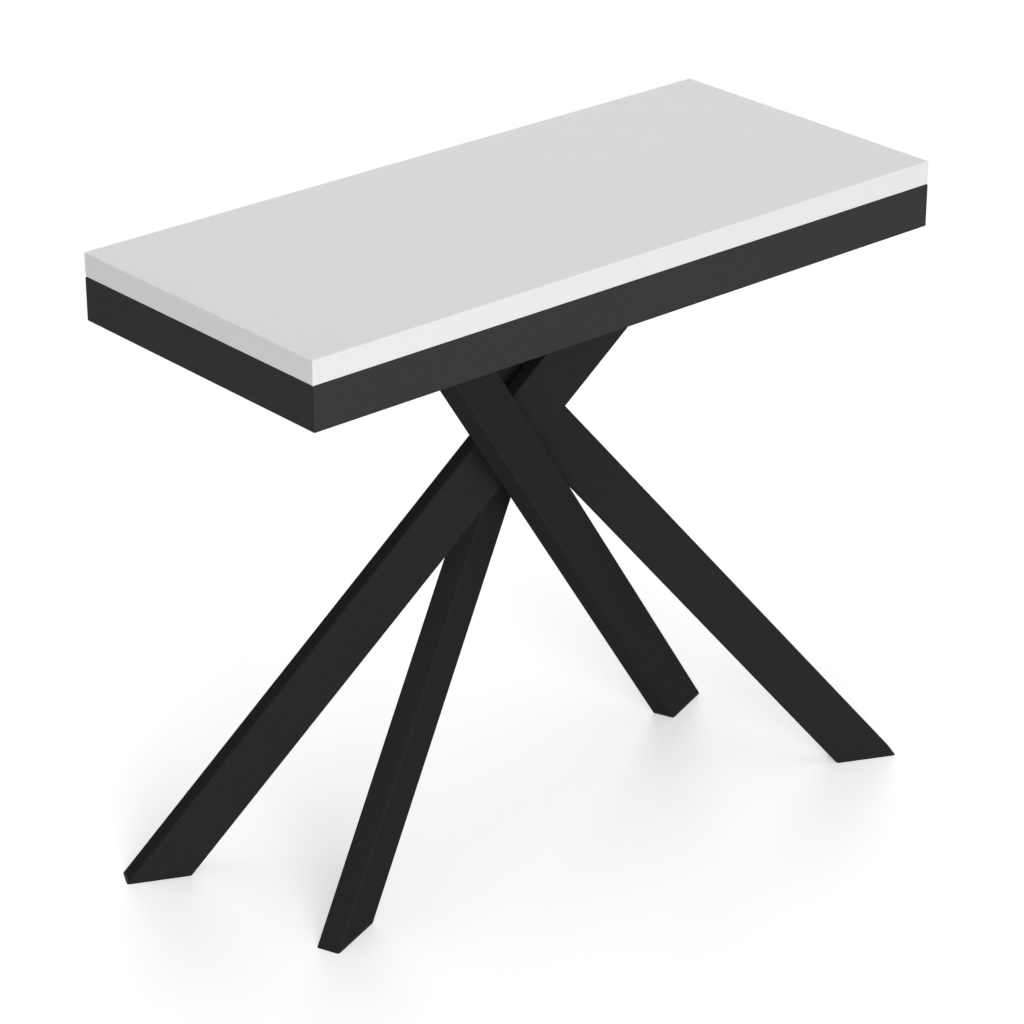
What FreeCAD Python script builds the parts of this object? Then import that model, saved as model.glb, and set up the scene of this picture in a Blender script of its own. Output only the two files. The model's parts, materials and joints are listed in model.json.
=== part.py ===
import FreeCAD, Part
import math
import os

from FreeCAD import Placement, Rotation, Vector

# Extending console table, closed. Millimetres, +Z up, +X along the length, -Y to the front.
# The origin is on the floor, under the middle of the top. The front half, with the top, pulls out
# to the front on two packs of runners, and the rear half is the same frame turned half round.

# Tabletop
top_length = 900.0
top_depth = 400.0
top_height = 780.0
board_thickness = 28.0
band_thickness = 2.0
band_edge_radius = 1.0

# Sockets for the pins of a loose leaf, in the rear edge of the top
socket_spacing = 600.0
socket_bore = 8.0
socket_outside = 12.0
socket_length = 22.0
socket_clearance = 0.1

# Apron rails of rectangular steel tube
apron_height = 52.0
rail_width = 20.0
rail_wall = 2.0
rail_corner = 1.5
seam_gap = 0.5
slide_gap = 0.5

# Legs of rectangular steel tube
leg_width = 60.0
leg_thickness = 30.0
leg_wall = 2.0
leg_corner = 3.0

# Where the legs stand: past the ends of the top, clear of the legs that slide past them and of the
# leg that they cross, and apart by a set distance at their tops
foot_overhang = 6.0
leg_pass_gap = 1.5
leg_cross_gap = 2.7
leg_top_spacing = 103.0
settling_rounds = 20

# Foot plugs
plug_base = 3.0
plug_spigot = 20.0
plug_wall = 2.5
plug_clearance = 0.3

# Leg flanges, plates and cross tubes
flange_length = 112.0
flange_width = 72.0
flange_thickness = 6.0
flange_corner = 8.0
flange_rail_gap = 5.5
flange_tube_gap = 3.5
flange_runner_gap = 45.0
plate_thickness = 5.0
plate_corner = 10.0
plate_seam_gap = 6.0
cross_tube_width = 20.0
cross_tube_wall = 2.0
cross_tube_corner = 2.0
cross_tube_top_gap = 1.0
cross_tube_end_gap = 1.5

# Leg bolts and nuts
bolt_diameter = 8.0
bolt_across_flats = 13.0
bolt_head = 5.3
bolt_tip = 2.0
bolt_clearance = 0.5
nut_height = 6.5
nut_clearance = 0.1
bolt_edge_long = 12.0
bolt_edge_wide = 11.0

# Runners: extruded bars side by side, each hanging on the next by a T-shaped tongue
runner_steps = 6
runner_width = 15.4
runner_gap = 0.6
runner_wall = 2.2
runner_end_gap = 5.0
runner_overlap = 90.0
runner_top_gap = 0.6
tongue_neck = 8.0
tongue_head = 14.0
tongue_head_thickness = 3.0
groove_lip = 2.5
groove_clearance = 0.3

# Stop blocks of the runners and the slots they run in
stop_length = 6.0
stop_height = 5.0
stop_end_distance = 10.0
stop_tail = 1.0
stop_seat_clearance = 0.05
slot_depth = 1.8
slot_clearance = 0.4

# Seats of the first and last runner of each pack
angle_thickness = 3.0
angle_height = 25.0
seat_end_gap = 15.0
seat_seam_gap = 25.0

# Screws of the runners
screw_diameter = 5.0
screw_head_diameter = 9.0
screw_head = 3.5
screw_tip = 2.0
screw_clearance = 0.2
thread_clearance = 0.1
screw_end_distance = 35.0

# Screws of the top, driven through access holes in the rails
top_screw_diameter = 4.5
top_screw_depth = 18.0
top_screw_spacing = 220.0
top_screws_in_front = 4
top_screw_seam_distance = 60.0
access_hole = 12.0

# Small round pieces and holes are drawn with this many flats
round_sides = 10

# Levels
board_bottom = top_height - board_thickness
apron_bottom = board_bottom - apron_height
flange_top = apron_bottom + flange_thickness
plate_top = flange_top + plate_thickness
runner_bottom = plate_top
runner_top = board_bottom - runner_top_gap
runner_middle = (runner_bottom + runner_top) / 2
runner_height = runner_top - runner_bottom
board_middle = board_bottom + board_thickness / 2

# Plan
half_length = top_length / 2
half_depth = top_depth / 2
rail_inside_x = half_length - rail_width
rail_inside_y = half_depth - rail_width
runner_pitch = runner_width + runner_gap
pack_outside = rail_inside_x - angle_thickness
last_outside = pack_outside - runner_steps * runner_pitch
last_inside = last_outside - runner_width
runner_length = 2 * (rail_inside_y - runner_end_gap)
step_travel = runner_length - runner_overlap
cross_tube_inside = plate_seam_gap / 2 + cross_tube_width

# Runner profile
neck_length = runner_gap + groove_lip + groove_clearance
groove_depth = groove_lip + tongue_head_thickness + 2 * groove_clearance
mouth_half = tongue_neck / 2 + groove_clearance
cavity_half = tongue_head / 2 + groove_clearance
stop_y = runner_length / 2 - stop_end_distance

X = Vector(1, 0, 0)
Y = Vector(0, 1, 0)
Z = Vector(0, 0, 1)
FAR = 2 * top_length


def rounded_outline(width, height, radius):
    """Closed outline of a rectangle with round corners, centred on the origin."""
    reach_x = width / 2 - radius
    reach_y = height / 2 - radius
    arcs = []
    for turn, (side_x, side_y) in enumerate([(1, 1), (-1, 1), (-1, -1), (1, -1)]):
        circle = Part.Circle(Vector(side_x * reach_x, side_y * reach_y, 0), Z, radius)
        arcs.append(Part.ArcOfCircle(circle, turn * math.pi / 2, (turn + 1) * math.pi / 2))
    edges = []
    for arc, following in zip(arcs, arcs[1:] + arcs[:1]):
        edges.append(arc.toShape())
        edges.append(Part.makeLine(arc.EndPoint, following.StartPoint))
    return Part.Wire(edges)


def bar_face(width, height, corner):
    return Part.Face(rounded_outline(width, height, corner))


def plain_face(width, height):
    return Part.makePlane(width, height, Vector(-width / 2, -height / 2, 0))


def tube_face(width, height, corner, wall):
    """Section of a rectangular tube, round at its outside corners and square inside."""
    bore = plain_face(width - 2 * wall, height - 2 * wall)
    return bar_face(width, height, corner).cut(bore).Faces[0]


def extrude_from(face, origin, x_dir, y_dir, length):
    """Extrude a face drawn in the XY plane from origin, square to x_dir and y_dir."""
    z_dir = x_dir.cross(y_dir)
    placed = face.copy()
    placed.Placement = Placement(origin, Rotation(x_dir, y_dir, z_dir, "XYZ"))
    return placed.extrude(z_dir * length)


def plan_prism(points, bottom, top):
    """Upright prism over a plan outline."""
    corners = [Vector(x, y, bottom) for x, y in points]
    return Part.Face(Part.makePolygon(corners + corners[:1])).extrude(Z * (top - bottom))


def block(x_range, y_range, z_range):
    low = Vector(x_range[0], y_range[0], z_range[0])
    high = Vector(x_range[1], y_range[1], z_range[1])
    size = high - low
    return Part.makeBox(size.x, size.y, size.z, low)


def slab(bottom, top):
    return block((-FAR, FAR), (-FAR, FAR), (bottom, top))


def even_prism(x, y, bottom, top, across_corners, sides):
    """Upright prism over a polygon with even sides."""
    radius = across_corners / 2
    angles = [2 * math.pi * corner / sides for corner in range(sides)]
    points = [(x + radius * math.cos(angle), y + radius * math.sin(angle)) for angle in angles]
    return plan_prism(points, bottom, top)


def rod(x, y, bottom, top, diameter):
    """Small upright round bar or hole."""
    return even_prism(x, y, bottom, top, diameter, round_sides)


def hexagon(x, y, bottom, top, across_flats):
    return even_prism(x, y, bottom, top, 2 * across_flats / math.sqrt(3), 6)


def turned(shape):
    """The same shape turned half round about the middle of the table."""
    return shape.rotated(Vector(), Z, 180)


def mirrored(shape):
    """The same shape on the other side of the table, left for right."""
    return shape.mirror(Vector(), X)


def cut_all(shape, tools):
    return shape.cut(Part.makeCompound(tools)) if tools else shape


def outer_edges(shape, face_point, normal):
    """Edges round the flat face of a shape that goes through face_point."""
    for face in shape.Faces:
        same_way = abs(face.normalAt(0, 0).dot(normal)) > 0.999
        if same_way and abs((face.CenterOfMass - face_point).dot(normal)) < 0.001:
            return face.Edges
    return []


# Tabletop

def socket_places():
    return [-socket_spacing / 2, socket_spacing / 2]


def socket_holes():
    hole = socket_outside / 2 + socket_clearance
    return [
        Part.makeCylinder(hole, socket_length, Vector(x, half_depth, board_middle), -Y)
        for x in socket_places()
    ]


def leaf_sockets():
    sleeves = []
    for x in socket_places():
        mouth = Vector(x, half_depth, board_middle)
        sleeve = Part.makeCylinder(socket_outside / 2, socket_length, mouth, -Y)
        sleeves.append(sleeve.cut(Part.makeCylinder(socket_bore / 2, socket_length, mouth, -Y)))
    return Part.makeCompound(sleeves)


def top_screw_places():
    """Plan places of the top's screws: a row in the front rail and one in each side rail."""
    first = -top_screw_spacing * (top_screws_in_front - 1) / 2
    rail_y = -(half_depth - rail_width / 2)
    row = [(first + top_screw_spacing * n, rail_y) for n in range(top_screws_in_front)]
    side_x = half_length - rail_width / 2
    return row + [(-side_x, -top_screw_seam_distance), (side_x, -top_screw_seam_distance)]


def top_board():
    core_x = half_length - band_thickness
    core_y = half_depth - band_thickness
    core = block((-core_x, core_x), (-core_y, core_y), (board_bottom, top_height))
    pilot = top_screw_diameter + 2 * thread_clearance
    depth = board_bottom + top_screw_depth + screw_clearance
    pilots = [rod(x, y, board_bottom, depth, pilot) for x, y in top_screw_places()]
    return cut_all(core, pilots + socket_holes())


def long_band():
    """Edge band along the front, as long as the top, with its outside edges rounded."""
    inside = -(half_depth - band_thickness)
    levels = (board_bottom, top_height)
    band = block((-half_length, half_length), (-half_depth, inside), levels)
    edges = outer_edges(band, Vector(0, -half_depth, board_middle), Y)
    return band.makeFillet(band_edge_radius, edges)


def short_band():
    """Edge band of the right side, between the long bands."""
    reach = half_depth - band_thickness
    inside = half_length - band_thickness
    band = block((inside, half_length), (-reach, reach), (board_bottom, top_height))
    edges = outer_edges(band, Vector(half_length, 0, board_middle), X)
    along = [edge for edge in edges if edge.BoundBox.YLength > reach]
    return band.makeFillet(band_edge_radius, along)


def top_screws():
    head_top = board_bottom - rail_wall
    screws = []
    for x, y in top_screw_places():
        shank = rod(x, y, head_top, board_bottom + top_screw_depth, top_screw_diameter)
        head = rod(x, y, head_top - screw_head, head_top, screw_head_diameter)
        screws.append(shank.fuse(head))
    return Part.makeCompound(screws)


# Apron

def screw_ways():
    """Holes for the top's screws: small through the upper wall, wide through the lower one."""
    ways = []
    for x, y in top_screw_places():
        clear = top_screw_diameter + 2 * screw_clearance
        ways.append(rod(x, y, board_bottom - 2 * rail_wall, board_bottom + rail_wall, clear))
        ways.append(rod(x, y, apron_bottom - rail_wall, apron_bottom + 2 * rail_wall, access_hole))
    return ways


def front_rail(rail_top):
    height = rail_top - apron_bottom
    middle = Vector(-half_length, -(half_depth - rail_width / 2), apron_bottom + height / 2)
    face = tube_face(rail_width, height, rail_corner, rail_wall)
    rail = extrude_from(face, middle, Y, Z, top_length)
    mitred = [
        (-half_length, -half_depth), (half_length, -half_depth),
        (rail_inside_x, -rail_inside_y), (-rail_inside_x, -rail_inside_y),
    ]
    return rail.common(plan_prism(mitred, apron_bottom, rail_top))


def front_right_side_rail(rail_top):
    height = rail_top - apron_bottom
    middle = Vector(half_length - rail_width / 2, -half_depth, apron_bottom + height / 2)
    face = tube_face(rail_width, height, rail_corner, rail_wall)
    rail = extrude_from(face, middle, -X, Z, half_depth)
    seam = -seam_gap / 2
    mitred = [
        (half_length, -half_depth), (half_length, seam),
        (rail_inside_x, seam), (rail_inside_x, -rail_inside_y),
    ]
    return rail.common(plan_prism(mitred, apron_bottom, rail_top))


# Legs of the front half, drawn from foot to flange as seen from above: the outer leg has its foot at the
# rear left and its flange right of the middle, and the inner leg goes from the right to the left

def cut_reach(run, angle):
    """How far the level cut through a leaning tube reaches, at an angle to the tube's heading."""
    slope = apron_bottom / math.hypot(apron_bottom, run)
    along = abs(math.cos(angle)) / slope
    across = abs(math.sin(angle))
    flat = (leg_width / 2 - leg_corner) * along + (leg_thickness / 2 - leg_corner) * across
    return flat + leg_corner * math.hypot(along, across)


def flange_outline():
    """Corners of a flange, along and across its leg's heading: a rectangle with its corners cut off."""
    long = flange_length / 2
    wide = flange_width / 2
    long_in = long - flange_corner
    wide_in = wide - flange_corner
    return [
        (long, -wide_in), (long, wide_in), (long_in, wide), (-long_in, wide),
        (-long, wide_in), (-long, -wide_in), (-long_in, -wide), (long_in, -wide),
    ]


def flange_reach(angle):
    """How far a flange reaches, at an angle to its leg's heading."""
    return max(x * math.cos(angle) + y * math.sin(angle) for x, y in flange_outline())


def plan_line(foot, top):
    """Angle to the length of the table, and run, of a leg."""
    line = top - foot
    return math.atan2(abs(line.y), abs(line.x)), line.Length


def next_leg_lines(outer, inner):
    """Foot and flange centres of both legs, given their last lines."""
    outer_angle, outer_run = plan_line(*outer)
    inner_angle, inner_run = plan_line(*inner)
    square = math.pi / 2
    outer_end = cut_reach(outer_run, outer_angle)
    outer_side = cut_reach(outer_run, square - outer_angle)
    inner_end = cut_reach(inner_run, inner_angle)
    inner_side = cut_reach(inner_run, square - inner_angle)

    outer_foot_x = half_length + foot_overhang - outer_end
    outer_foot_y = half_depth - outer_side
    inner_foot_x = outer_foot_x - outer_end - inner_end - leg_pass_gap
    inner_top_x = last_inside - flange_runner_gap - flange_reach(inner_angle)
    outer_top_x = inner_top_x - leg_top_spacing
    outer_top_y = -(cross_tube_inside + flange_tube_gap + flange_reach(square - outer_angle))
    inner_top_y = -(rail_inside_y - flange_rail_gap - flange_reach(square - inner_angle))

    total_run_x = outer_foot_x + outer_top_x + inner_foot_x + inner_top_x
    cross_share = (outer_foot_x + inner_foot_x) / total_run_x
    outer_cross_y = outer_foot_y + (outer_top_y - outer_foot_y) * cross_share
    inner_cross_y = outer_cross_y - outer_side - inner_side - leg_cross_gap
    inner_foot_y = (inner_cross_y - inner_top_y * cross_share) / (1 - cross_share)
    outer = (Vector(-outer_foot_x, outer_foot_y, 0), Vector(outer_top_x, outer_top_y, 0))
    inner = (Vector(inner_foot_x, inner_foot_y, 0), Vector(-inner_top_x, inner_top_y, 0))
    return outer, inner


def leg_lines():
    """Lines of the outer and the inner leg: diagonals, drawn again until they settle."""
    outer = (Vector(-half_length, half_depth, 0), Vector(half_length, -half_depth, 0))
    inner = (Vector(half_length, half_depth, 0), Vector(-half_length, -half_depth, 0))
    for _ in range(settling_rounds):
        outer, inner = next_leg_lines(outer, inner)
    return outer, inner


def along_leg(face, foot, top):
    """A section swept along a leg's axis, past both ends."""
    across = Z.cross(top - foot).normalize()
    axis = top + Z * apron_bottom - foot
    length = axis.Length
    axis.normalize()
    return extrude_from(face, foot - axis * length, across.cross(axis), across, 3 * length)


def on_flange(foot, top, places):
    """Plan places given along and across a leg's heading, from the middle of its flange."""
    heading = (top - foot).normalize()
    across = Z.cross(heading)
    points = [top + heading * x + across * y for x, y in places]
    return [(point.x, point.y) for point in points]


def bolt_places(foot, top):
    """Plan places of the four bolts of a leg's flange."""
    reach_long = flange_length / 2 - bolt_edge_long
    reach_wide = flange_width / 2 - bolt_edge_wide
    corners = [(x, y) for x in (-reach_long, reach_long) for y in (-reach_wide, reach_wide)]
    return on_flange(foot, top, corners)


def bolt_holes(places, bottom, top):
    return [rod(x, y, bottom, top, bolt_diameter + 2 * bolt_clearance) for x, y in places]


def leg(foot, top):
    """Tube cut level at the plug and under the flange."""
    face = tube_face(leg_width, leg_thickness, leg_corner, leg_wall)
    return along_leg(face, foot, top).common(slab(plug_base, apron_bottom))


def leg_flange(foot, top):
    """Plate welded to the top of a leg, with four bolt holes."""
    flange = plan_prism(on_flange(foot, top, flange_outline()), apron_bottom, flange_top)
    return cut_all(flange, bolt_holes(bolt_places(foot, top), apron_bottom, flange_top))


def foot_plug(foot, top):
    """Base with the tube's own outline, and a hollow spigot up the tube."""
    outside = bar_face(leg_width, leg_thickness, leg_corner)
    base = along_leg(outside, foot, top).common(slab(0, plug_base))
    inset = leg_wall + plug_clearance
    width = leg_width - 2 * inset
    thickness = leg_thickness - 2 * inset
    hollow = plain_face(width - 2 * plug_wall, thickness - 2 * plug_wall)
    spigot = along_leg(plain_face(width, thickness).cut(hollow).Faces[0], foot, top)
    return base.fuse(spigot.common(slab(plug_base, plug_base + plug_spigot))).removeSplitter()


def front_bolt_places():
    outer, inner = leg_lines()
    return bolt_places(*outer) + bolt_places(*inner)


def leg_bolts():
    nut_top = plate_top + nut_height
    bolts = []
    for x, y in front_bolt_places():
        head = hexagon(x, y, apron_bottom - bolt_head, apron_bottom, bolt_across_flats)
        bolts.append(head.fuse(rod(x, y, apron_bottom, nut_top + bolt_tip, bolt_diameter)))
    return Part.makeCompound(bolts)


def leg_nuts():
    nut_top = plate_top + nut_height
    bore = bolt_diameter + 2 * nut_clearance
    nuts = []
    for x, y in front_bolt_places():
        nut = hexagon(x, y, plate_top, nut_top, bolt_across_flats)
        nuts.append(nut.cut(rod(x, y, plate_top, nut_top, bore)))
    return Part.makeCompound(nuts)


# Leg plates and cross tubes

def leg_plate(reach, screw_holes):
    """Plate welded to the inside of the rail, with the holes of the leg bolts."""
    levels = (flange_top, plate_top)
    seam = -plate_seam_gap / 2
    plate = block((-reach, reach), (-rail_inside_y, seam), levels)
    upright = [
        edge for edge in plate.Edges
        if edge.BoundBox.ZLength > plate_thickness / 2 and abs(edge.CenterOfMass.y - seam) < 0.001
    ]
    plate = plate.makeFillet(plate_corner, upright)
    return cut_all(plate, bolt_holes(front_bolt_places(), *levels) + screw_holes)


def cross_tube():
    """Tube welded across the leg plate, along the seam."""
    height = board_bottom - cross_tube_top_gap - plate_top
    reach = last_inside - cross_tube_end_gap
    middle_y = -(plate_seam_gap + cross_tube_width) / 2
    face = tube_face(cross_tube_width, height, cross_tube_corner, cross_tube_wall)
    return extrude_from(face, Vector(-reach, middle_y, plate_top + height / 2), Y, Z, 2 * reach)


# Runners: the right pack is drawn, counted from the outside in, and the left one mirrors it

def runner_outside(step):
    """Place of a runner's outer face along the table."""
    return pack_outside - step * runner_pitch


def runner_outline(has_groove, has_tongue):
    """Section of a runner: inward distance from its outer face, and height from its middle."""
    half = runner_height / 2
    neck_half = tongue_neck / 2
    head_half = tongue_head / 2
    neck_end = runner_width + neck_length
    head_end = neck_end + tongue_head_thickness
    upper = [(runner_width, half), (0, half)]
    if has_tongue:
        upper = [(head_end, head_half), (neck_end, head_half), (neck_end, neck_half),
                 (runner_width, neck_half)] + upper
    if has_groove:
        upper += [(0, mouth_half), (groove_lip, mouth_half), (groove_lip, cavity_half),
                  (groove_depth, cavity_half)]
    return upper + [(inward, -height) for inward, height in reversed(upper)]


def runner_chambers():
    """Hollows of the section: above and below the groove, and behind it."""
    half = runner_height / 2 - runner_wall
    inside = runner_width - runner_wall
    low = cavity_half + runner_wall
    behind = groove_depth + runner_wall
    return [
        [(runner_wall, low), (inside, low), (inside, half), (runner_wall, half)],
        [(runner_wall, -half), (inside, -half), (inside, -low), (runner_wall, -low)],
        [(behind, -cavity_half), (inside, -cavity_half), (inside, cavity_half), (behind, cavity_half)],
    ]


def runner_bar(points, outside):
    """A closed section, extruded over the length of a runner."""
    y = -runner_length / 2
    corners = [Vector(outside - inward, y, runner_middle + height) for inward, height in points]
    return Part.Face(Part.makePolygon(corners + corners[:1])).extrude(Y * runner_length)


def stop_slot(outside):
    """Slot in the face of a tongue, as long as one step of travel."""
    face = outside - runner_width - neck_length - tongue_head_thickness
    reach = stop_length / 2 + slot_clearance
    half = stop_height / 2 + slot_clearance
    ends = (stop_y - step_travel - reach, stop_y + reach)
    return block((face, face + slot_depth), ends, (runner_middle - half, runner_middle + half))


def stop_block(step, clearance=0.0):
    """Block held in the back of a runner's groove, with its tip in the slot of the tongue there."""
    tip = groove_depth - groove_clearance - slot_depth + slot_clearance
    tail = groove_depth + runner_wall + stop_tail
    outside = runner_outside(step)
    reach = stop_length / 2 + clearance
    half = stop_height / 2 + clearance
    ends = (stop_y - reach, stop_y + reach)
    return block((outside - tail, outside - tip), ends, (runner_middle - half, runner_middle + half))


def seat_screw_places(step, side):
    """Plan places of the screws under a runner, on the front (-1) or rear (1) half."""
    x = runner_outside(step) - runner_width / 2
    near = seat_seam_gap + screw_end_distance
    far = runner_length / 2 - seat_end_gap - screw_end_distance
    return [(x, side * near), (x, side * far)]


def seat_screw_holes(places, bottom, top, clearance):
    return [rod(x, y, bottom, top, screw_diameter + 2 * clearance) for x, y in places]


def runner(step):
    """One runner of the right pack: the first has no groove, and the last has no tongue."""
    outside = runner_outside(step)
    is_first = step == 0
    is_last = step == runner_steps
    bar = runner_bar(runner_outline(not is_first, not is_last), outside)
    tools = [runner_bar(chamber, outside) for chamber in runner_chambers()]
    if not is_last:
        tools.append(stop_slot(outside))
    if not is_first:
        tools.append(stop_block(step, stop_seat_clearance))
    if is_first or is_last:
        places = seat_screw_places(step, 1 if is_first else -1)
        wall_top = runner_bottom + runner_wall
        tools += seat_screw_holes(places, runner_bottom, wall_top, thread_clearance)
    for tool in tools:
        bar = bar.cut(tool)
    return bar


def rear_runner_angle():
    """Angle welded to the right side rail of the rear half, under the first runner."""
    ends = (seat_seam_gap, runner_length / 2 - seat_end_gap)
    inside = runner_outside(0) - runner_width
    seat = runner_bottom - angle_thickness
    flat = block((inside, rail_inside_x), ends, (seat, runner_bottom))
    upright = block((pack_outside, rail_inside_x), ends, (seat, seat + angle_height))
    holes = seat_screw_holes(seat_screw_places(0, 1), seat, runner_bottom, screw_clearance)
    return cut_all(flat.fuse(upright).removeSplitter(), holes)


def seat_screws(step, side, seat):
    """Screws driven from below a seat into the bottom wall of a runner."""
    tip = runner_bottom + runner_wall + screw_tip
    screws = []
    for x, y in seat_screw_places(step, side):
        head = rod(x, y, seat - screw_head, seat, screw_head_diameter)
        screws.append(head.fuse(rod(x, y, seat, tip, screw_diameter)))
    return screws


def on_both_sides(shapes):
    return Part.makeCompound(shapes + [mirrored(shape) for shape in shapes])


# Assembly

def tabletop_parts():
    rear_band = turned(long_band())
    right_band = short_band()
    return {
        "top_board": top_board(),
        "front_edge_band": long_band(),
        "rear_edge_band": cut_all(rear_band, socket_holes()),
        "left_edge_band": turned(right_band),
        "right_edge_band": right_band,
        "leaf_sockets": leaf_sockets(),
        "top_screws": top_screws(),
    }


def apron_parts():
    rear_top = board_bottom - slide_gap
    right = front_right_side_rail(board_bottom)
    rear_left = turned(front_right_side_rail(rear_top))
    return {
        "front_rail": cut_all(front_rail(board_bottom), screw_ways()),
        "front_right_side_rail": cut_all(right, screw_ways()),
        "front_left_side_rail": cut_all(mirrored(right), screw_ways()),
        "rear_rail": turned(front_rail(rear_top)),
        "rear_left_side_rail": rear_left,
        "rear_right_side_rail": mirrored(rear_left),
    }


def leg_parts():
    outer, inner = leg_lines()
    flanges = Part.makeCompound([leg_flange(*outer), leg_flange(*inner)])
    return {
        "front_left_leg": leg(*outer),
        "front_right_leg": leg(*inner),
        "rear_right_leg": turned(leg(*outer)),
        "rear_left_leg": turned(leg(*inner)),
        "front_leg_flanges": flanges,
        "rear_leg_flanges": turned(flanges),
        "front_left_foot_plug": foot_plug(*outer),
        "front_right_foot_plug": foot_plug(*inner),
        "rear_right_foot_plug": turned(foot_plug(*outer)),
        "rear_left_foot_plug": turned(foot_plug(*inner)),
    }


def plate_parts():
    right_places = seat_screw_places(runner_steps, -1)
    places = right_places + [(-x, y) for x, y in right_places]
    screw_holes = seat_screw_holes(places, flange_top, plate_top, screw_clearance)
    return {
        "front_leg_plate": leg_plate(last_outside, screw_holes),
        "rear_leg_plate": turned(leg_plate(last_inside - runner_gap, [])),
        "front_cross_tube": cross_tube(),
        "rear_cross_tube": turned(cross_tube()),
        "front_leg_bolts": leg_bolts(),
        "rear_leg_bolts": turned(leg_bolts()),
        "front_leg_nuts": leg_nuts(),
        "rear_leg_nuts": turned(leg_nuts()),
    }


def runner_parts():
    parts = {}
    for step in range(runner_steps + 1):
        parts[f"right_runner_{step}"] = runner(step)
        parts[f"left_runner_{step}"] = mirrored(runner(step))
    for step in range(1, runner_steps):
        parts[f"right_stop_block_{step}"] = stop_block(step)
        parts[f"left_stop_block_{step}"] = mirrored(stop_block(step))
    parts["front_stop_blocks"] = on_both_sides([stop_block(runner_steps)])
    parts["rear_runner_angles"] = on_both_sides([rear_runner_angle()])
    rear_seat = runner_bottom - angle_thickness
    parts["rear_runner_screws"] = on_both_sides(seat_screws(0, 1, rear_seat))
    parts["front_runner_screws"] = on_both_sides(seat_screws(runner_steps, -1, flange_top))
    return parts


os.makedirs("parts", exist_ok=True)
for group in (tabletop_parts(), apron_parts(), leg_parts(), plate_parts(), runner_parts()):
    for name, shape in group.items():
        shape.exportStep(f"parts/{name}.step")
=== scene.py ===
import json
import math

import bmesh
import bpy
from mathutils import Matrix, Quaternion, Vector
from mathutils.geometry import convex_hull_2d


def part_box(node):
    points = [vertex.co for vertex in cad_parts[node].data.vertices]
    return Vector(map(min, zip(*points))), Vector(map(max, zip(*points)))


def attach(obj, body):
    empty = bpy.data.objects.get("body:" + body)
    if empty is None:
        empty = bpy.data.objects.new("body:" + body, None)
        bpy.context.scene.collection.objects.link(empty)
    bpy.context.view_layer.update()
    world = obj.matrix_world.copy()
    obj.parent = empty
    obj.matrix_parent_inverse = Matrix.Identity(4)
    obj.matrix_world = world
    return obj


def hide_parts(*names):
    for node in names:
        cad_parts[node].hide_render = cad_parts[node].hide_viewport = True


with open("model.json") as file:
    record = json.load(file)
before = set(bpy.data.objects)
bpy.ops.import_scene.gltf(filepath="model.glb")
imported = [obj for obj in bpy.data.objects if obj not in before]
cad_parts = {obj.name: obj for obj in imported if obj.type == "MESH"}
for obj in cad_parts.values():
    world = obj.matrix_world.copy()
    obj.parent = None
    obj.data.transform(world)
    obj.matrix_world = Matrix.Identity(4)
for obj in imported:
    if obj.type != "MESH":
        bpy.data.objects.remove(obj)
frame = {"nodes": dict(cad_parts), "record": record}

# Looks of the extending console table, in metres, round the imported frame.

nodes = frame["nodes"]
record = frame["record"]
slot_of = {part["node"]: part["material_slot"] for part in record["subparts"]}
body_of = {node: body for body, held in record["behaviour"]["bodies"].items() for node in held}
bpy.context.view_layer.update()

# Camera: the view of the photograph
camera_place = Vector((-2.4407, -2.8060, 2.1611))
camera_target = Vector((-0.0158, -0.0034, 0.4074))
camera_roll = math.radians(-0.09)
camera_lens = 124.57
sensor_width = 36.0

# Light
sky_color = (1.0, 1.0, 1.0)
sky_light = 0.27
key_direction = Vector((-0.35, -0.70, 0.17))
key_power = 1720.0
fill_direction = Vector((0.65, 0.72, 0.25))
fill_power = 950.0
light_distance = 14.0
light_size = 8.0
top_light_height = 4.0
top_light_size = 2.5
top_light_power = 29.5
floor_size = 24.0
floor_color = (0.9, 0.9, 0.9)
floor_bounce = 0.55
floor_glow = 0.44
floor_near = 2.0
floor_far = 4.0

# Sizes of bolts and nuts
bolt_across_flats = 0.013
bolt_radius = 0.004
bolt_head = 0.0053
washer_face = 0.0004
round_share = 0.95
chamfer_angle = math.radians(30)
dish_inside = 0.57
dish_outside = 0.68
thread_pitch = 0.00125
thread_depth = 0.0007
thread_length = 0.00375
thread_rings = 18

# Sizes of screws
screw_radius = 0.00225
screw_head_radius = 0.0045
screw_head = 0.0035
screw_rim = 0.0007
screw_flat_radius = 0.0023
screw_socket = 0.003
screw_socket_depth = 0.002
dome_rings = 5

# Sizes of welds
weld_radius = 0.0026
weld_ripple = 0.0032
ripple_rings = 3
ripple_depth = 0.1
weld_taper = 0.35
weld_sides = 8
stitch_length = 0.030
stitch_spacing = 0.110

# Meshes
facets = 36
sharp_angle = math.radians(32)
same_place = 0.00001

# Colours of the finishes
white_color = (0.800, 0.806, 0.785)
apron_coat_color = (0.0400, 0.0408, 0.0378)
apron_coat_sheen = 0.025
# The legs' coat is the apron's paint made darker: painted shade for the shadow that the top casts on the
# legs
leg_shaded_coat_color = (0.0230, 0.0235, 0.0211)
leg_coat_sheen = 0.006
aluminium_color = (0.500, 0.503, 0.510)
zinc_color = (0.420, 0.422, 0.405)
black_plastic_color = (0.017, 0.017, 0.016)
grey_plastic_color = (0.340, 0.340, 0.335)

# Noise in the finishes
noise_middle = 0.5
cloud_detail = 4.0
speckle_detail = 1.0
grain_detail = 2.0
wave_detail = 0.0
wave_scale = 0.2


# Shader groups that the finishes share

def math_node(tree, operation, *values):
    """Result of a sum on numbers or on other nodes' outputs."""
    node = tree.nodes.new("ShaderNodeMath")
    node.operation = operation
    for socket, value in zip(node.inputs, values):
        if isinstance(value, bpy.types.NodeSocket):
            tree.links.new(value, socket)
        else:
            socket.default_value = value
    return node.outputs[0]


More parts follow.
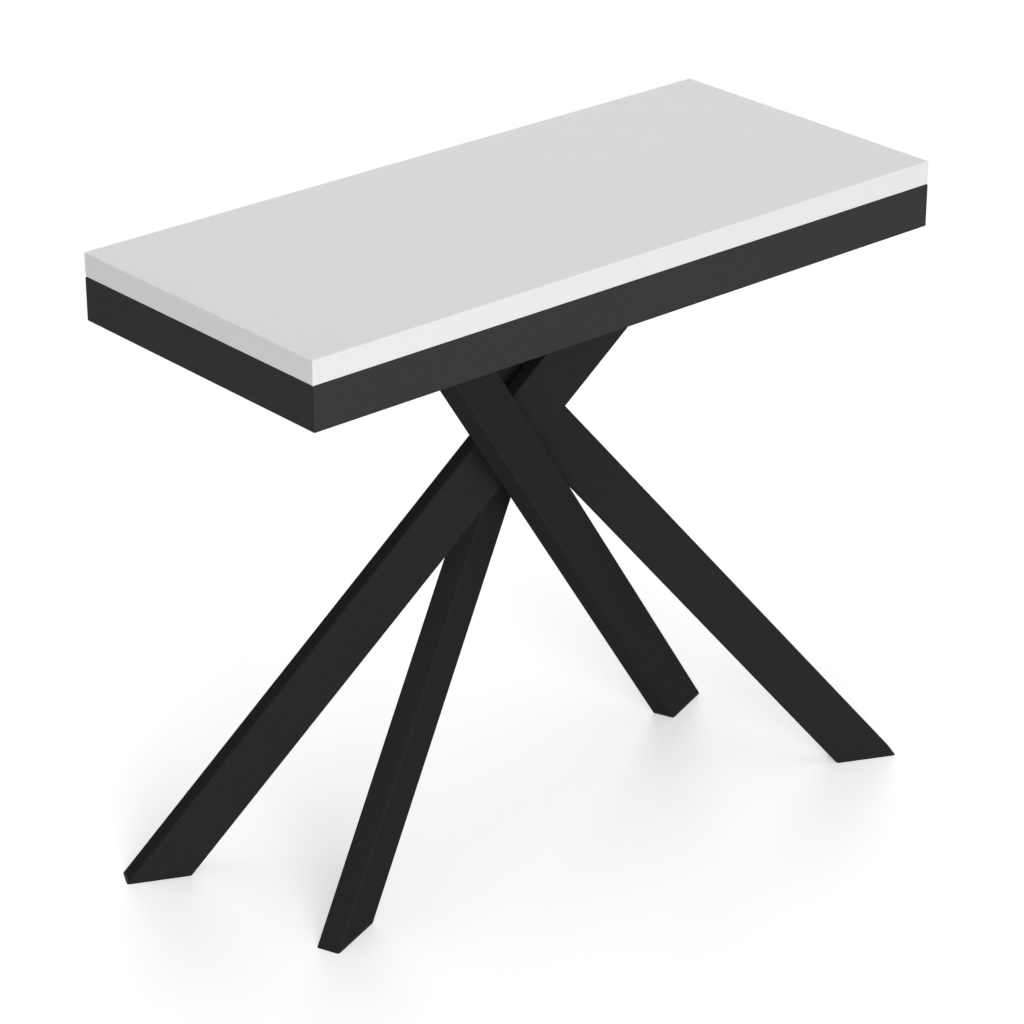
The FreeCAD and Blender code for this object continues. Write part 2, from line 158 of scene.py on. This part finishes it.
def new_group(name, inputs, outputs):
    """Empty shader group with named sockets, and its input and output nodes."""
    group = bpy.data.node_groups.new(name, "ShaderNodeTree")
    for label, kind, value in inputs:
        socket = group.interface.new_socket(name=label, in_out="INPUT", socket_type=kind)
        socket.default_value = value
    for label, kind in outputs:
        group.interface.new_socket(name=label, in_out="OUTPUT", socket_type=kind)
    return group, group.nodes.new("NodeGroupInput"), group.nodes.new("NodeGroupOutput")


def stretched_place(group, start):
    """Place on the piece, squeezed along each axis by the group's Stretch."""
    place = group.nodes.new("ShaderNodeTexCoord")
    squeeze = group.nodes.new("ShaderNodeVectorMath")
    squeeze.operation = "MULTIPLY"
    group.links.new(place.outputs["Object"], squeeze.inputs[0])
    group.links.new(start.outputs["Stretch"], squeeze.inputs[1])
    return squeeze.outputs["Vector"]


def noise(group, place, scale, detail):
    """Noise texture at a scale given by a socket."""
    texture = group.nodes.new("ShaderNodeTexNoise")
    texture.inputs["Detail"].default_value = detail
    group.links.new(place, texture.inputs["Vector"])
    group.links.new(scale, texture.inputs["Scale"])
    return texture.outputs["Fac"]


def centred(group, value):
    """A noise value, moved so that its middle is zero."""
    return math_node(group, "SUBTRACT", value, noise_middle)


def make_tone_group():
    """Slow changes of colour and roughness over a surface, and fine speckles of its colour."""
    group, start, end = new_group(
        "surface_tone",
        [
            ("Color", "NodeSocketColor", (0.5, 0.5, 0.5, 1.0)),
            ("Roughness", "NodeSocketFloat", 0.5),
            ("Scale", "NodeSocketFloat", 5.0),
            ("Stretch", "NodeSocketVector", (1.0, 1.0, 1.0)),
            ("Color Change", "NodeSocketFloat", 0.05),
            ("Roughness Change", "NodeSocketFloat", 0.05),
            ("Speckle Scale", "NodeSocketFloat", 900.0),
            ("Speckle Change", "NodeSocketFloat", 0.05),
        ],
        [("Color", "NodeSocketColor"), ("Roughness", "NodeSocketFloat")],
    )
    place = stretched_place(group, start)
    cloud = centred(group, noise(group, place, start.outputs["Scale"], cloud_detail))
    speckle = centred(group, noise(group, place, start.outputs["Speckle Scale"], speckle_detail))

    shade = math_node(group, "MULTIPLY_ADD", cloud, start.outputs["Color Change"], 1.0)
    speckled = math_node(group, "MULTIPLY_ADD", speckle, start.outputs["Speckle Change"], shade)
    tinted = group.nodes.new("ShaderNodeVectorMath")
    tinted.operation = "SCALE"
    group.links.new(start.outputs["Color"], tinted.inputs[0])
    group.links.new(speckled, tinted.inputs["Scale"])
    group.links.new(tinted.outputs["Vector"], end.inputs["Color"])

    change, roughness = start.outputs["Roughness Change"], start.outputs["Roughness"]
    group.links.new(math_node(group, "MULTIPLY_ADD", cloud, change, roughness), end.inputs["Roughness"])
    return group


def make_grain_group():
    """Fine relief of a surface: grains on a gentle waviness."""
    group, start, end = new_group(
        "surface_grain",
        [
            ("Scale", "NodeSocketFloat", 900.0),
            ("Stretch", "NodeSocketVector", (1.0, 1.0, 1.0)),
            ("Waviness", "NodeSocketFloat", 0.5),
        ],
        [("Height", "NodeSocketFloat")],
    )
    place = stretched_place(group, start)
    grain = noise(group, place, start.outputs["Scale"], grain_detail)
    coarser = math_node(group, "MULTIPLY", start.outputs["Scale"], wave_scale)
    wave = noise(group, place, coarser, wave_detail)
    height = math_node(group, "MULTIPLY_ADD", wave, start.outputs["Waviness"], grain)
    group.links.new(height, end.inputs["Height"])
    return group


tone_group = make_tone_group()
grain_group = make_grain_group()


# Finishes

def place_group(tree, group, values):
    """Shared group in a material, with that material's values."""
    node = tree.nodes.new("ShaderNodeGroup")
    node.node_tree = group
    for label, value in values.items():
        node.inputs[label].default_value = value
    return node


def finish(name, color, roughness, tone, grain, relief, metallic=0.0, specular=0.5):
    """Material with its own values in the shared groups. relief is the depth of the grain."""
    material = bpy.data.materials.new(name)
    material.use_nodes = True
    tree = material.node_tree
    shader = tree.nodes["Principled BSDF"]
    shader.inputs["Metallic"].default_value = metallic
    shader.inputs["Specular IOR Level"].default_value = specular

    tones = place_group(tree, tone_group, {"Color": (*color, 1.0), "Roughness": roughness, **tone})
    tree.links.new(tones.outputs["Color"], shader.inputs["Base Color"])
    tree.links.new(tones.outputs["Roughness"], shader.inputs["Roughness"])

    grains = place_group(tree, grain_group, grain)
    bump = tree.nodes.new("ShaderNodeBump")
    bump.inputs["Strength"].default_value = 1.0
    bump.inputs["Distance"].default_value = relief
    tree.links.new(grains.outputs["Height"], bump.inputs["Height"])
    tree.links.new(bump.outputs["Normal"], shader.inputs["Normal"])
    return material


def white_melamine():
    """Face of the board, with a faint pearl texture."""
    return finish(
        "white_melamine", white_color, roughness=0.42,
        tone={
            "Scale": 2.5, "Color Change": 0.02, "Roughness Change": 0.08,
            "Speckle Scale": 700.0, "Speckle Change": 0.03,
        },
        grain={"Scale": 700.0, "Waviness": 0.8},
        relief=0.00008, specular=0.4,
    )


def white_edge_band():
    """Extruded plastic band, a little smoother than the face of the board."""
    return finish(
        "white_edge_band", white_color, roughness=0.40,
        tone={
            "Scale": 4.0, "Color Change": 0.02, "Roughness Change": 0.06,
            "Speckle Scale": 1200.0, "Speckle Change": 0.03,
        },
        grain={"Scale": 1200.0, "Waviness": 0.5},
        relief=0.00004, specular=0.4,
    )


def powder_coat(name, color, sheen):
    """Fine-grained paint of the steel."""
    return finish(
        name, color, roughness=0.72,
        tone={
            "Scale": 9.0, "Color Change": 0.10, "Roughness Change": 0.10,
            "Speckle Scale": 800.0, "Speckle Change": 0.9,
        },
        grain={"Scale": 800.0, "Waviness": 1.0},
        relief=0.0002, specular=sheen,
    )


def drawn_aluminium():
    """Runners, with the lines of the die along them."""
    return finish(
        "drawn_aluminium", aluminium_color, roughness=0.34,
        tone={
            "Scale": 60.0, "Stretch": (4.0, 0.05, 4.0), "Color Change": 0.16, "Roughness Change": 0.18,
            "Speckle Scale": 200.0, "Speckle Change": 0.15,
        },
        grain={"Scale": 1800.0, "Stretch": (1.0, 0.01, 1.0), "Waviness": 1.0},
        relief=0.00002, metallic=1.0,
    )


def zinc_plate():
    """Plating of the bolts, nuts, screws and stop blocks."""
    return finish(
        "zinc_plate", zinc_color, roughness=0.36,
        tone={
            "Scale": 260.0, "Color Change": 0.22, "Roughness Change": 0.16,
            "Speckle Scale": 1500.0, "Speckle Change": 0.2,
        },
        grain={"Scale": 2200.0, "Waviness": 0.6},
        relief=0.00001, metallic=1.0,
    )


def moulded_plastic(name, color):
    """Foot plugs and leaf sockets, with the fine texture of the mould."""
    return finish(
        name, color, roughness=0.5,
        tone={
            "Scale": 30.0, "Color Change": 0.08, "Roughness Change": 0.10,
            "Speckle Scale": 1500.0, "Speckle Change": 0.5,
        },
        grain={"Scale": 1500.0, "Waviness": 0.4},
        relief=0.0001, specular=0.08,
    )


apron_coat = powder_coat("apron_powder_coat", apron_coat_color, apron_coat_sheen)
# Darker copy of the same coat for the legs, their flanges and welds: painted shade
leg_shaded_coat = powder_coat("leg_powder_coat_painted_shade", leg_shaded_coat_color, leg_coat_sheen)
zinc = zinc_plate()
finish_of_slot = {
    "white_board": white_melamine(),
    "white_band": white_edge_band(),
    "grey_powder_coat": apron_coat,
    "aluminium": drawn_aluminium(),
    "zinc_steel": zinc,
    "black_plastic": moulded_plastic("black_plastic", black_plastic_color),
    "grey_plastic": moulded_plastic("grey_plastic", grey_plastic_color),
}

for name, piece in nodes.items():
    # Legs and flanges take the darker copy of the coat, which paints the shade under the top
    material = leg_shaded_coat if name.endswith(("_leg", "_leg_flanges")) else finish_of_slot[slot_of[name]]
    piece.data.materials.clear()
    piece.data.materials.append(material)


# Shapes of the added pieces

def solids_of(node):
    """Lowest and highest corner of each separate solid in a node."""
    shape = bmesh.new()
    shape.from_mesh(nodes[node].data)
    bmesh.ops.remove_doubles(shape, verts=shape.verts, dist=same_place)
    found, corners = set(), []
    for first in shape.verts:
        if first in found:
            continue
        found.add(first)
        waiting, solid = [first], []
        while waiting:
            vertex = waiting.pop()
            solid.append(vertex.co.copy())
            for edge in vertex.link_edges:
                other = edge.other_vert(vertex)
                if other not in found:
                    found.add(other)
                    waiting.append(other)
        corners.append(tuple(Vector([limit(axis) for axis in zip(*solid)]) for limit in (min, max)))
    shape.free()
    return corners


def new_piece(name, shape, material, like, replaces=()):
    """Scene piece from a finished shape. It rides on the body of the node that it is like."""
    bmesh.ops.recalc_face_normals(shape, faces=shape.faces)
    mesh = bpy.data.meshes.new(name)
    shape.to_mesh(mesh)
    shape.free()
    mesh.materials.append(material)
    mesh.polygons.foreach_set("use_smooth", [True] * len(mesh.polygons))
    mesh.set_sharp_from_angle(angle=sharp_angle)
    piece = bpy.data.objects.new(name, mesh)
    bpy.context.scene.collection.objects.link(piece)
    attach(piece, body_of[like])
    for node in replaces:
        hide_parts(node)


def join_rings(shape, rings, closed):
    """Faces between neighbouring rings. The last ring joins the first if closed, and both ends are
    capped if not."""
    pairs = list(zip(rings, rings[1:]))
    if closed:
        pairs.append((rings[-1], rings[0]))
    else:
        shape.faces.new(rings[0])
        shape.faces.new(rings[-1])
    for ring, next_ring in pairs:
        for step in range(len(ring)):
            ahead = (step + 1) % len(ring)
            shape.faces.new((ring[step], ring[ahead], next_ring[ahead], next_ring[step]))


# Bolts, nuts and screws

def circle(radius):
    """Radius that is the same at every angle."""
    return lambda angle: radius


def hexagon(across_flats):
    """Distance from the middle of a hexagon to its side, at an angle."""
    return lambda angle: across_flats / 2 / math.cos(angle % (math.pi / 3) - math.pi / 6)


def level(height):
    """Height that is the same at every angle."""
    return lambda angle: height


def chamfer(across_flats, face, direction):
    """Height at which the cone next to a hexagon's round face meets its sides, at an angle."""
    side = hexagon(across_flats)
    slope = direction * math.tan(chamfer_angle)
    return lambda angle: face + slope * (side(angle) - round_face(across_flats))


def round_face(across_flats):
    """Radius of the round face of a hexagon head or nut."""
    return round_share * across_flats / 2


def thread(height):
    """Radius of the bolt's thread at a height, for each angle."""
    def radius(angle):
        turn = (height / thread_pitch - angle / (2 * math.pi)) % 1.0
        return bolt_radius - thread_depth * abs(2 * turn - 1)
    return radius


def skin(shape, middle, rows, through=False):
    """Surface through rings round an upright axis, each row being radius and height by angle.
    With through, the last ring joins the first and leaves a hole."""
    rings = []
    for radius, height in rows:
        ring = []
        for step in range(facets):
            angle = 2 * math.pi * step / facets
            reach = radius(angle)
            place = (middle.x + reach * math.cos(angle), middle.y + reach * math.sin(angle), height(angle))
            ring.append(shape.verts.new(place))
        rings.append(ring)
    join_rings(shape, rings, closed=through)


def bolt(shape, low, high):
    """Hexagon bolt with its dished head below, and thread at its tip."""
    flats, face, seat = bolt_across_flats, low.z, low.z + bolt_head
    edge = round_face(flats)
    rows = [
        (circle(dish_inside * flats / 2), level(face + washer_face)),
        (circle(dish_outside * flats / 2), level(face)),
        (circle(edge), level(face)),
        (hexagon(flats), chamfer(flats, face, 1)),
        (hexagon(flats), level(seat - washer_face)),
        (circle(edge), level(seat - washer_face)),
        (circle(edge), level(seat)),
        (circle(bolt_radius), level(seat)),
    ]
    for ring in range(thread_rings):
        height = high.z - thread_length * (1 - ring / thread_rings)
        rows.append((thread(height), level(height)))
    rows.append((circle(bolt_radius - thread_depth), level(high.z)))
    skin(shape, (low + high) / 2, rows)


def nut(shape, low, high):
    """Hexagon nut with chamfers and a countersunk bore."""
    flats, edge = bolt_across_flats, round_face(bolt_across_flats)
    rows = [
        (circle(bolt_radius), level(high.z - thread_pitch / 2)),
        (circle(bolt_radius + thread_pitch / 2), level(high.z)),
        (circle(edge), level(high.z)),
        (hexagon(flats), chamfer(flats, high.z, -1)),
        (hexagon(flats), chamfer(flats, low.z, 1)),
        (circle(edge), level(low.z)),
        (circle(bolt_radius), level(low.z)),
    ]
    skin(shape, (low + high) / 2, rows, through=True)


def screw(shape, low, high):
    """Button-head screw with its head below and a hexagon socket in it."""
    face, seat = low.z, low.z + screw_head
    rows = [
        (hexagon(screw_socket), level(face + screw_socket_depth)),
        (hexagon(screw_socket), level(face)),
    ]
    for ring in range(dome_rings + 1):
        angle = math.pi / 2 * ring / dome_rings
        reach = screw_flat_radius + (screw_head_radius - screw_flat_radius) * math.sin(angle)
        rise = (screw_head - screw_rim) * (1 - math.cos(angle))
        rows.append((circle(reach), level(face + rise)))
    rows.append((circle(screw_head_radius), level(seat)))
    rows.append((circle(screw_radius), level(seat)))
    rows.append((circle(screw_radius), level(high.z)))
    skin(shape, (low + high) / 2, rows)


def add_fasteners(node, make):
    """Detailed fasteners in the place of the plain ones of a node."""
    shape = bmesh.new()
    for low, high in solids_of(node):
        make(shape, low, high)
    new_piece(node + "_detailed", shape, zinc, node, replaces=[node])


# Welds

def bead(shape, path, tapered):
    """Rippled bead along a level path of evenly spaced points. A path that isn't tapered is closed."""
    count = len(path)
    rings = []
    for step, place in enumerate(path):
        before = path[step - 1] if step or not tapered else place
        after = path[(step + 1) % count] if step + 1 < count or not tapered else place
        along = (after - before).normalized()
        across = Vector((along.y, -along.x, 0.0))
        radius = weld_radius * (1 - ripple_depth + ripple_depth * (step % ripple_rings))
        if tapered:
            radius *= math.sin(math.pi * (step + 0.5) / count) ** weld_taper
        ring = []
        for side in range(weld_sides):
            angle = 2 * math.pi * side / weld_sides
            offset = across * math.cos(angle) + Vector((0.0, 0.0, math.sin(angle)))
            ring.append(shape.verts.new(place + radius * offset))
        rings.append(ring)
    join_rings(shape, rings, closed=not tapered)


def even_path(points, closed):
    """Points along a path, a few for each ripple."""
    ends = points + points[:1] if closed else points
    lengths = [(after - before).length for before, after in zip(ends, ends[1:])]
    count = round(ripple_rings * sum(lengths) / weld_ripple)
    path = []
    for step in range(count):
        rest = sum(lengths) * step / count
        part = 0
        while rest > lengths[part]:
            rest -= lengths[part]
            part += 1
        path.append(ends[part].lerp(ends[part + 1], rest / lengths[part]))
    return path


def outline_at_top(node):
    """Outline of a tube's top end, in order."""
    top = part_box(node)[1][2]
    ends = [vertex.co for vertex in nodes[node].data.vertices if abs(vertex.co.z - top) < same_place]
    order = convex_hull_2d([end.xy for end in ends])
    return [ends[index].copy() for index in order]


def add_leg_weld(leg, flanges):
    """Bead round a leg's top end, under its flange."""
    shape = bmesh.new()
    bead(shape, even_path(outline_at_top(leg), closed=True), tapered=False)
    new_piece(leg + "_weld", shape, leg_shaded_coat, flanges)


def add_stitch_welds(plate, rail):
    """Short beads where a leg plate meets the long rail, below and above."""
    low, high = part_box(plate)
    edge_y = min((low[1], high[1]), key=lambda y: abs(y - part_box(rail)[0][1]))
    shape = bmesh.new()
    count = math.floor((high[0] - low[0] - stitch_length) / stitch_spacing)
    for step in range(count + 1):
        middle = (low[0] + high[0]) / 2 + (step - count / 2) * stitch_spacing
        for height in (low[2], high[2]):
            ends = [Vector((middle + side * stitch_length / 2, edge_y, height)) for side in (-1, 1)]
            bead(shape, even_path(ends, closed=False), tapered=True)
    new_piece(plate + "_weld", shape, apron_coat, plate)


for half in ("front", "rear"):
    add_fasteners(half + "_leg_bolts", bolt)
    add_fasteners(half + "_leg_nuts", nut)
    add_fasteners(half + "_runner_screws", screw)
    add_stitch_welds(half + "_leg_plate", half + "_rail")
    for side in ("left", "right"):
        add_leg_weld(f"{half}_{side}_leg", half + "_leg_flanges")
add_fasteners("top_screws", screw)


# Floor, light and camera

def background_ray(tree):
    """1 for rays that show the background: from the camera, or by way of gloss or glass."""
    path = tree.nodes.new("ShaderNodeLightPath")
    direct = math_node(tree, "MAXIMUM", path.outputs["Is Camera Ray"], path.outputs["Is Glossy Ray"])
    return math_node(tree, "MAXIMUM", direct, path.outputs["Is Transmission Ray"])


def mixed(tree, share, first, second):
    """Mix of two shaders."""
    mix = tree.nodes.new("ShaderNodeMixShader")
    tree.links.new(share, mix.inputs["Fac"])
    tree.links.new(first, mix.inputs[1])
    tree.links.new(second, mix.inputs[2])
    return mix.outputs[0]


def floor_in_view(tree):
    """Floor as the camera sees it, with the table's shadow near by and plain white further off."""
    pale = tree.nodes.new("ShaderNodeBsdfDiffuse")
    pale.inputs["Color"].default_value = (*floor_color, 1.0)
    place = tree.nodes.new("ShaderNodeTexCoord")
    distance = tree.nodes.new("ShaderNodeVectorMath")
    distance.operation = "LENGTH"
    tree.links.new(place.outputs["Object"], distance.inputs[0])
    further = tree.nodes.new("ShaderNodeMapRange")
    further.inputs["From Min"].default_value = floor_near
    further.inputs["From Max"].default_value = floor_far
    tree.links.new(distance.outputs["Value"], further.inputs["Value"])
    glow = tree.nodes.new("ShaderNodeEmission")
    glow.inputs["Strength"].default_value = floor_glow
    near = tree.nodes.new("ShaderNodeAddShader")
    tree.links.new(pale.outputs[0], near.inputs[0])
    tree.links.new(glow.outputs[0], near.inputs[1])
    white = tree.nodes.new("ShaderNodeEmission")
    return mixed(tree, further.outputs["Result"], near.outputs[0], white.outputs[0])


def floor_material():
    """White to the camera where it is lit, less bright to the table, and clear from below."""
    material = bpy.data.materials.new("pale_floor")
    material.use_nodes = True
    tree = material.node_tree
    tree.nodes.clear()
    dim = tree.nodes.new("ShaderNodeBsdfDiffuse")
    dim.inputs["Color"].default_value = (floor_bounce, floor_bounce, floor_bounce, 1.0)
    upper = mixed(tree, background_ray(tree), dim.outputs[0], floor_in_view(tree))
    side = tree.nodes.new("ShaderNodeNewGeometry")
    clear = tree.nodes.new("ShaderNodeBsdfTransparent")
    both = mixed(tree, side.outputs["Backfacing"], upper, clear.outputs[0])
    output = tree.nodes.new("ShaderNodeOutputMaterial")
    tree.links.new(both, output.inputs["Surface"])
    return material


def add_floor():
    """Plain floor, which isn't part of the table."""
    mesh = bpy.data.meshes.new("floor")
    shape = bmesh.new()
    bmesh.ops.create_grid(shape, x_segments=1, y_segments=1, size=floor_size / 2)
    shape.to_mesh(mesh)
    shape.free()
    mesh.materials.append(floor_material())
    floor = bpy.data.objects.new("floor", mesh)
    bpy.context.scene.collection.objects.link(floor)


def add_sky():
    """Even light from all round, and white behind the table."""
    world = bpy.data.worlds.new("studio")
    world.use_nodes = True
    tree = world.node_tree
    background = tree.nodes["Background"]
    background.inputs["Color"].default_value = (*sky_color, 1.0)
    strength = tree.nodes.new("ShaderNodeMapRange")
    strength.inputs["To Min"].default_value = sky_light
    strength.inputs["To Max"].default_value = 1.0
    tree.links.new(background_ray(tree), strength.inputs["Value"])
    tree.links.new(strength.outputs["Result"], background.inputs["Strength"])
    bpy.context.scene.world = world


def add_soft_light(name, place, size, power):
    """Broad square light that looks at the table."""
    light = bpy.data.lights.new(name, "AREA")
    light.size = size
    light.energy = power
    lamp = bpy.data.objects.new(name, light)
    lamp.location = place
    lamp.rotation_mode = "QUATERNION"
    lamp.rotation_quaternion = (camera_target - place).to_track_quat("-Z", "Y")
    lamp.visible_glossy = False
    bpy.context.scene.collection.objects.link(lamp)


def add_camera():
    """Camera where the photograph was taken from."""
    lens = bpy.data.cameras.new("photo_camera")
    lens.lens = camera_lens
    lens.sensor_width = sensor_width
    camera = bpy.data.objects.new("photo_camera", lens)
    camera.location = camera_place
    camera.rotation_mode = "QUATERNION"
    aim = (camera_target - camera_place).to_track_quat("-Z", "Y")
    camera.rotation_quaternion = aim @ Quaternion((0.0, 0.0, 1.0), camera_roll)
    bpy.context.scene.collection.objects.link(camera)
    bpy.context.scene.camera = camera


add_floor()
add_sky()
key_place = camera_target + key_direction.normalized() * light_distance
fill_place = camera_target + fill_direction.normalized() * light_distance
top_place = Vector((0.0, 0.0, top_light_height))
add_soft_light("key_light", key_place, light_size, key_power)
add_soft_light("fill_light", fill_place, light_size, fill_power)
add_soft_light("top_light", top_place, top_light_size, top_light_power)
add_camera()
bpy.context.scene.view_settings.view_transform = "Standard"
